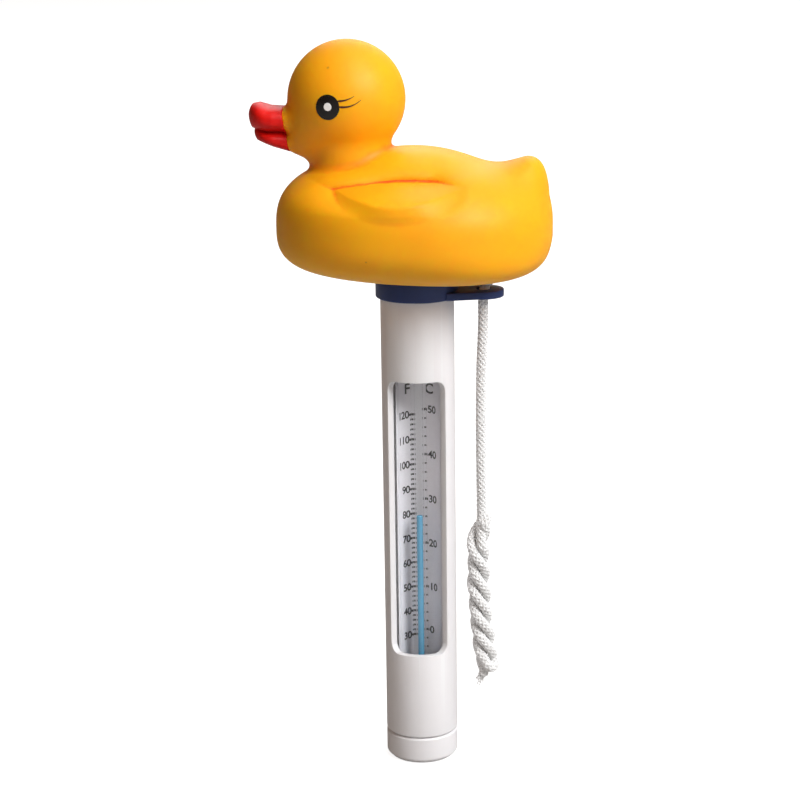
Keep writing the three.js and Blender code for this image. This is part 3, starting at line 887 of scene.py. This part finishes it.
collar = turned("collar", rounded([
    (0, NECK_TOP), (4.4, NECK_TOP), (4.4, WEB_Z), (SKIRT_IN, WEB_Z),
    (SKIRT_IN, SKIRT_LOW), (SKIRT_OUT, SKIRT_LOW), (SKIRT_OUT, WEB_Z), (SOCKET_R, WEB_Z),
    (SOCKET_R, COLLAR_LOW, 0.25), (COLLAR_R, COLLAR_LOW, 0.55), (COLLAR_R, SHOULDER_Z, 0.6),
    (NECK_R, SHOULDER_Z, 0.3), (NECK_R, SHOULDER_Z + 4), (BARB_R, SHOULDER_Z + 4.4, 0.2),
    (BARB_R, SHOULDER_Z + 5.1, 0.2), (5.6, COLLAR_HIGH, 0.5), (0, COLLAR_HIGH),
]), navy, 128)


def arc(radius, start, stop, count, middle_x=0.0):
    return [(middle_x + radius * math.cos(a), radius * math.sin(a)) for a in np.linspace(start, stop, count)]


lug_outline = [(9.2, -LUG_ROOT), *arc(LUG_TIP_R, -1.68, 1.68, 40, LUG_X), (9.2, LUG_ROOT),
               *arc(11.9, 0.72, -0.72, 24)]
lug = slab("lug", lug_outline, COLLAR_LOW, COLLAR_LOW + LUG_THICK, navy)
hole = slab("lug_eye", arc(EYE_R, 0, 2 * math.pi, 41, LUG_X)[:-1], COLLAR_LOW - 3, COLLAR_LOW + 5, navy)
cut_or_join(lug, hole, "DIFFERENCE")
ease_edges(lug, 0.35 * MM)
cut_or_join(collar, lug, "UNION")
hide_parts("collar_cap")
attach(collar, "housing")

# ---------------------------------------------------------------------------
# Housing. White moulded tube, 22 mm across with a 2 mm wall, open at both ends, and one
# long window with radial cheeks and rounded corners whose edges are slightly eased.
WINDOW_LOW, WINDOW_HIGH = -132.6, -46.5
WINDOW_HALF = math.radians(51.5)
WINDOW_CORNER = 3.5
white, shader = moulded_material("tube_white", (0.81, 0.795, 0.81), (0.802, 0.787, 0.802),
                                 (0.84, 0.84, 0.85), (0.29, 0.33), mottle=70, specks=0.006)
glow_through(shader, 0.15, (1.0, 0.95, 0.9))
TUBE_LOW_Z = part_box("housing_tube")[0][2] / MM
tube = turned("tube", rounded([
    (BORE_R, TUBE_LOW_Z), (TUBE_R, TUBE_LOW_Z, 0.7), (TUBE_R, TUBE_TOP_Z, 0.3), (BORE_R, TUBE_TOP_Z),
]), white, 192)


def window_outline(steps=9):
    half = TUBE_R * WINDOW_HALF
    c = WINDOW_CORNER
    corners = ((half - c, WINDOW_HIGH - c, 0), (c - half, WINDOW_HIGH - c, 1),
               (c - half, WINDOW_LOW + c, 2), (half - c, WINDOW_LOW + c, 3))
    line = []
    for u, z, quarter in corners:
        for k in range(steps + 1):
            a = (quarter + k / steps) * math.pi / 2
            line.append(((u + c * math.cos(a)) / TUBE_R, z + c * math.sin(a)))
    dense = []
    for (a0, z0), (a1, z1) in zip(line, line[1:] + line[:1]):
        pieces = max(1, int(abs(a1 - a0) / 0.03))
        dense += [(a0 + (a1 - a0) * k / pieces, z0 + (z1 - z0) * k / pieces) for k in range(pieces)]
    return dense


def window_cutter():
    """The window's outline carried out from the axis, so that its cheeks are radial."""
    edit = bmesh.new()
    outline = window_outline()
    middle_z = (WINDOW_LOW + WINDOW_HIGH) / 2 * MM
    near, far = ([edit.verts.new((r * math.sin(a) * MM, -r * math.cos(a) * MM, z * MM)) for a, z in outline]
                 for r in (BORE_R - 2.5, TUBE_R + 2.5))
    for k in range(len(outline)):
        n = (k + 1) % len(outline)
        edit.faces.new((near[k], near[n], far[n], far[k]))
    for loop in (near, far):
        middle = sum((v.co for v in loop), Vector()) / len(loop)
        spine = [edit.verts.new((0, middle.y * 1.35, z * MM)) for z in (WINDOW_LOW + 6, WINDOW_HIGH - 6)]
        for a, b in zip(loop, loop[1:] + loop[:1]):
            near_a, near_b = (spine[int(v.co.z > middle_z)] for v in (a, b))
            edit.faces.new((a, b, near_a))
            if near_a is not near_b:
                edit.faces.new((b, near_b, near_a))
    bmesh.ops.recalc_face_normals(edit, faces=edit.faces)
    return finish_mesh("window_cutter", edit, white)


cut_or_join(tube, window_cutter(), "DIFFERENCE")
ease_edges(tube, 0.3 * MM)
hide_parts("housing_tube")
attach(tube, "housing")

# ---------------------------------------------------------------------------
# Base cap. The same white plastic, pressed flush into the tube's end: a V-shaped seam all
# round, a rounded foot, and a spigot inside the bore that holds the ballast.
CAP_LOW = FLOOR_Z / MM
CAP_TOP = CAP_LOW + 8.3
CAP_FLOOR = CAP_LOW + 1.8
SEAM = 0.5
SPIGOT_IN, SPIGOT_R, SPIGOT_TOP = 7.4, 8.7, CAP_TOP + 5.1
cap = turned("cap", rounded([
    (0, CAP_LOW), (9.8, CAP_LOW, 0.3), (TUBE_R, CAP_LOW + 1.2, 0.9), (TUBE_R, CAP_TOP - SEAM, 0.15),
    (TUBE_R - SEAM, CAP_TOP), (SPIGOT_R, CAP_TOP, 0.2), (SPIGOT_R, SPIGOT_TOP - 0.4),
    (SPIGOT_R - 0.3, SPIGOT_TOP), (SPIGOT_IN, SPIGOT_TOP), (SPIGOT_IN, CAP_FLOOR, 0.6), (0, CAP_FLOOR),
]), white, 160)
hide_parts("base_cap")
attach(cap, "housing")

# ---------------------------------------------------------------------------
# Inner pieces that the walls hide: steel ballast, rubber bush and washer, foam disc and the
# envelope's stopper. They keep their turned shapes and take their own finishes.
def dress(name, material):
    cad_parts[name].material_slots[0].material = material


steel, tree, shader = new_material("ballast_steel", (0.42, 0.42, 0.43), 0.35, 1.0)
turning = node(tree, "ShaderNodeTexWave", {"wave_type": "RINGS", "rings_direction": "Z"},
               s0=tree.nodes.new("ShaderNodeTexCoord").outputs["Object"])
turning.inputs["Scale"].default_value = 900
turning.inputs["Distortion"].default_value = 1.5
gloss = node(tree, "ShaderNodeMapRange", s0=turning.outputs["Fac"], s3=0.28, s4=0.45).outputs[0]
tree.links.new(gloss, shader.inputs["Roughness"])
two_tone(tree, shader, clouds(tree, 300), (0.46, 0.46, 0.47), (0.3, 0.29, 0.28))
rubber = moulded_material("grey_rubber", (0.09, 0.09, 0.095), (0.06, 0.06, 0.062), (0.14, 0.14, 0.14),
                          (0.6, 0.8), mottle=200, relief=0.04)[0]
foam = moulded_material("white_foam", (0.78, 0.77, 0.74), (0.6, 0.59, 0.56), (0.85, 0.85, 0.83),
                        (0.8, 0.95), mottle=900, grain=1800, relief=0.3)[0]
plug = moulded_material("stopper_plastic", (0.62, 0.62, 0.6), (0.55, 0.55, 0.53), (0.7, 0.7, 0.7),
                        (0.4, 0.5), mottle=150)[0]
for name, look in (("ballast_weight", steel), ("sealing_washer", rubber), ("lower_bush", rubber),
                   ("top_cushion", foam), ("envelope_stopper", plug)):
    dress(name, look)

# ---------------------------------------------------------------------------
# Scale card. Thin coated paper curled into a gutter inside the glass, open side to the
# window; its printed face is the hollow one.
CARD_R, CARD_THICK, CARD_HALF = 6.8, 0.3, math.radians(98)
CARD_IN = CARD_R - CARD_THICK
CARD_LOW, CARD_HIGH = (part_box("scale_card")[i][2] / MM for i in (0, 1))
CARD_TURN = -VIEW_AZIMUTH
card_paper, tree, shader = new_material("card_paper", (0.8, 0.79, 0.84), 0.55)
shader.inputs["Coat Weight"].default_value = 0.25
shader.inputs["Coat Roughness"].default_value = 0.25
pulp = clouds(tree, 650, detail=6)
two_tone(tree, shader, pulp, (0.90, 0.885, 0.94), (0.96, 0.95, 0.99))
raise_grain(tree, shader, pulp, 1.0, 0.02 * MM)
card_ends = math.pi / 2 + CARD_HALF, math.pi / 2 - CARD_HALF
card = slab("card", arc(CARD_R, *card_ends, 73) + arc(CARD_IN, *card_ends[::-1], 73),
            CARD_LOW, CARD_HIGH, card_paper)
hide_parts("scale_card")
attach(card, "housing")

# ---------------------------------------------------------------------------
# Scale. Two columns of ticks and numbers printed on the card, Fahrenheit left and Celsius
# right of the stem; the ticks are repeated and wrapped on to the card by Geometry Nodes.
F_AT_30, F_DEGREE = FLOOR_Z / MM + 36.3, 0.791
C_AT_0, C_DEGREE = FLOOR_Z / MM + 37.9, 1.424
INK_HALF = 0.05
print_ink = moulded_material("scale_ink", (0.018, 0.014, 0.02), (0.03, 0.025, 0.03), (0.04, 0.04, 0.04),
                             (0.4, 0.5), mottle=900)[0]


def tick_tree():
    tree, start, end = tree_with("scale_ticks", (
        ("Ticks", "Int"), ("First Height", "Float"), ("Spacing", "Float"), ("Middle", "Float"),
        ("Length", "Float"), ("Thickness", "Float"), ("Card Radius", "Float"), ("Turn", "Float"),
        ("Material", "Material")))
    _, count, first, spacing, middle, length, thickness, radius, turn, look = start.outputs[:10]
    low = node(tree, "ShaderNodeCombineXYZ", s0=middle, s2=first).outputs[0]
    step = node(tree, "ShaderNodeCombineXYZ", s2=spacing).outputs[0]
    column = node(tree, "GeometryNodeMeshLine", s0=count, s2=low, s3=step).outputs[0]
    size = node(tree, "ShaderNodeCombineXYZ", s0=length, s1=2 * INK_HALF * MM, s2=thickness).outputs[0]
    bar = node(tree, "GeometryNodeMeshCube", s0=size, s1=5).outputs[0]
    bars = node(tree, "GeometryNodeInstanceOnPoints", s0=column, s2=bar).outputs[0]
    real = node(tree, "GeometryNodeRealizeInstances", s0=bars).outputs[0]
    flat = node(tree, "ShaderNodeSeparateXYZ", s0=tree.nodes.new("GeometryNodeInputPosition").outputs[0])
    angle = maths(tree, "ADD", maths(tree, "DIVIDE", flat.outputs[0], radius), turn)
    reach = maths(tree, "ADD", flat.outputs[1], radius)
    wrapped = node(tree, "ShaderNodeCombineXYZ",
                   s0=maths(tree, "MULTIPLY", reach, maths(tree, "SINE", angle)),
                   s1=maths(tree, "MULTIPLY", reach, maths(tree, "COSINE", angle)),
                   s2=flat.outputs[2]).outputs[0]
    laid = node(tree, "GeometryNodeSetPosition", s0=real, s2=wrapped).outputs[0]
    inked = node(tree, "GeometryNodeSetMaterial", s0=laid, s2=look).outputs[0]
    tree.links.new(inked, end.inputs[0])
    return tree


ticks = tick_tree()
for name, count, first, spacing, middle, length, thickness in (
        ("ticks_fahrenheit", 46, F_AT_30, 2 * F_DEGREE, -2.0, 1.3, 0.55),
        ("tens_fahrenheit", 10, F_AT_30, 10 * F_DEGREE, -2.1, 1.7, 0.7),
        ("ticks_celsius", 28, C_AT_0 - 4 * C_DEGREE, 2 * C_DEGREE, 1.95, 1.0, 0.5),
        ("tens_celsius", 6, C_AT_0, 10 * C_DEGREE, 2.05, 1.3, 0.75)):
    column = grow(name, bpy.data.meshes.new(name + "_seed"), ticks, {
        "Ticks": count, "First Height": first * MM, "Spacing": spacing * MM, "Middle": middle * MM,
        "Length": length * MM, "Thickness": thickness * MM, "Card Radius": CARD_IN * MM,
        "Turn": CARD_TURN, "Material": print_ink})
    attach(column, "housing")


def wrap_on_card(x, depth, z):
    angle = x / CARD_IN + CARD_TURN
    return ((CARD_IN + depth) * math.sin(angle) * MM, (CARD_IN + depth) * math.cos(angle) * MM, z * MM)


def lettering(name, items):
    """One mesh of print: items are (text, its left or right edge, alignment, middle height, size)."""
    both = bmesh.new()
    for text, edge, align, height, size in items:
        curve = bpy.data.curves.new("glyphs", "FONT")
        curve.body = text
        curve.size = size
        curve.extrude = INK_HALF
        curve.offset = 0.018 * size
        curve.space_character = 0.94
        curve.align_x = align
        curve.align_y = "CENTER"
        curve.resolution_u = 4
        holder = new_object("glyphs", curve)
        bpy.context.view_layer.update()
        mesh = bpy.data.meshes.new_from_object(holder)
        for vertex in mesh.vertices:
            x, y, depth = vertex.co
            vertex.co = wrap_on_card(edge + x, depth, height + y)
        both.from_mesh(mesh)
        bpy.data.objects.remove(holder)
    bmesh.ops.remove_doubles(both, verts=both.verts, dist=2e-7)
    bmesh.ops.dissolve_degenerate(both, edges=both.edges, dist=1e-7)
    bmesh.ops.recalc_face_normals(both, faces=both.faces)
    for face in both.faces:
        face.material_index = 0
    piece = finish_mesh(name, both, print_ink)
    piece.data.shade_flat()
    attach(piece, "housing")


DIGIT_SIZE, LETTER_SIZE = 3.3, 4.5
LETTERS_Z = FLOOR_Z / MM + 115.6
lettering("numbers_fahrenheit", [
    (str(30 + 10 * k), -2.95, "RIGHT", F_AT_30 + 10 * k * F_DEGREE, DIGIT_SIZE) for k in range(10)
] + [("F", -2.6, "RIGHT", LETTERS_Z, LETTER_SIZE)])
lettering("numbers_celsius", [
    (str(10 * k), 2.85, "LEFT", C_AT_0 + 10 * k * C_DEGREE, DIGIT_SIZE) for k in range(6)
] + [("C", 1.9, "LEFT", LETTERS_Z, LETTER_SIZE)])

# ---------------------------------------------------------------------------
# Glass. A drawn envelope round the card and a thick-walled stem with its bulb, both clear;
# light for the card passes them, so their shade is let through.
def clear_glass(name, ior, coat):
    material, tree, shader = new_material(name, (0.99, 1.0, 1.0), 0.03)
    shader.inputs["Transmission Weight"].default_value = 1.0
    shader.inputs["IOR"].default_value = ior
    shader.inputs["Coat Weight"].default_value = coat
    shader.inputs["Coat Roughness"].default_value = 0.04
    place = tree.nodes.new("ShaderNodeTexCoord").outputs["Object"]
    drawn = node(tree, "ShaderNodeMapping", s0=place, s3=(1, 1, 0.06)).outputs[0]
    streaks = node(tree, "ShaderNodeTexNoise", s0=drawn, s2=160).outputs[0]
    raise_grain(tree, shader, streaks, 0.3, 0.03 * MM)
    haze = node(tree, "ShaderNodeMapRange", s0=streaks, s3=0.01, s4=0.06).outputs[0]
    tree.links.new(haze, shader.inputs["Roughness"])
    rays = tree.nodes.new("ShaderNodeLightPath").outputs
    passes = maths(tree, "MAXIMUM", rays["Is Shadow Ray"], rays["Is Diffuse Ray"])
    clear = tree.nodes.new("ShaderNodeBsdfTransparent").outputs[0]
    either = node(tree, "ShaderNodeMixShader", s0=passes, s1=shader.outputs[0], s2=clear).outputs[0]
    tree.links.new(either, tree.nodes["Material Output"].inputs["Surface"])
    return material


envelope_look = clear_glass("envelope_glass", 1.03, 0.5)
stem_look = clear_glass("stem_glass", 1.02, 0.6)
ENVELOPE_R, ENVELOPE_WALL, STEM_R, STEM_BORE, BULB_R = 7.8, 0.6, 2.3, 1.25, 3.6
ENVELOPE_IN, FOOT_HOLE_R = ENVELOPE_R - ENVELOPE_WALL, STEM_R + 0.3
BULB_WALL, BULB_FOOT = 0.6, 0.7
ENVELOPE_LOW, ENVELOPE_HIGH = (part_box("envelope_glass")[i][2] / MM for i in (0, 1))
BULB_LOW, STEM_HIGH = (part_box("stem_glass")[i][2] / MM for i in (0, 1))
BULB_HIGH = BULB_LOW + 9.2
envelope = turned("envelope", rounded([
    (FOOT_HOLE_R, ENVELOPE_LOW), (ENVELOPE_R, ENVELOPE_LOW, 2.0), (ENVELOPE_R, ENVELOPE_HIGH, 0.25),
    (ENVELOPE_IN, ENVELOPE_HIGH, 0.25), (ENVELOPE_IN, ENVELOPE_LOW + ENVELOPE_WALL, 1.4),
    (FOOT_HOLE_R, ENVELOPE_LOW + ENVELOPE_WALL),
], 0.12, 6), envelope_look, 128)
stem = turned("stem", rounded([
    (0, BULB_LOW), (BULB_R, BULB_LOW, 2.4), (BULB_R, BULB_HIGH - 1.5, 1.0), (STEM_R, BULB_HIGH + 1, 1.0),
    (STEM_R, STEM_HIGH, 0.8), (STEM_BORE, STEM_HIGH, 0.2), (STEM_BORE, BULB_HIGH + 0.6, 0.5),
    (BULB_R - BULB_WALL, BULB_HIGH - 1.8, 0.8), (BULB_R - BULB_WALL, BULB_LOW + BULB_FOOT, 1.9),
    (0, BULB_LOW + BULB_FOOT),
], 0.12, 6), stem_look, 64)
for glass, stands_for in ((envelope, "envelope_glass"), (stem, "stem_glass")):
    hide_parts(stands_for)
    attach(glass, "housing")

# ---------------------------------------------------------------------------
# Spirit. Blue-dyed alcohol: the store in the bulb, and the column in the bore, which is
# made of many short rings along its length.
SPIRIT_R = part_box("spirit_column")[1][0] / MM
SPIRIT_LOW, SPIRIT_HIGH = (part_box("spirit_column")[i][2] / MM for i in (0, 1))
spirit, tree, shader = new_material("blue_spirit", (0.10, 0.36, 0.62), 0.12)
shader.inputs["Specular IOR Level"].default_value = 0.3
two_tone(tree, shader, clouds(tree, 110), (0.10, 0.39, 0.65), (0.15, 0.48, 0.73))
rings = [(SPIRIT_R, float(z)) for z in np.linspace(SPIRIT_LOW, SPIRIT_HIGH - 0.45, 60)]
column = turned("spirit_thread", [(0, SPIRIT_LOW)] + rings
                + [(0.83, SPIRIT_HIGH - 0.2), (0.5, SPIRIT_HIGH - 0.04), (0, SPIRIT_HIGH)], spirit, 32)
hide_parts("spirit_column")
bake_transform(column)
dress("spirit_reservoir", spirit)
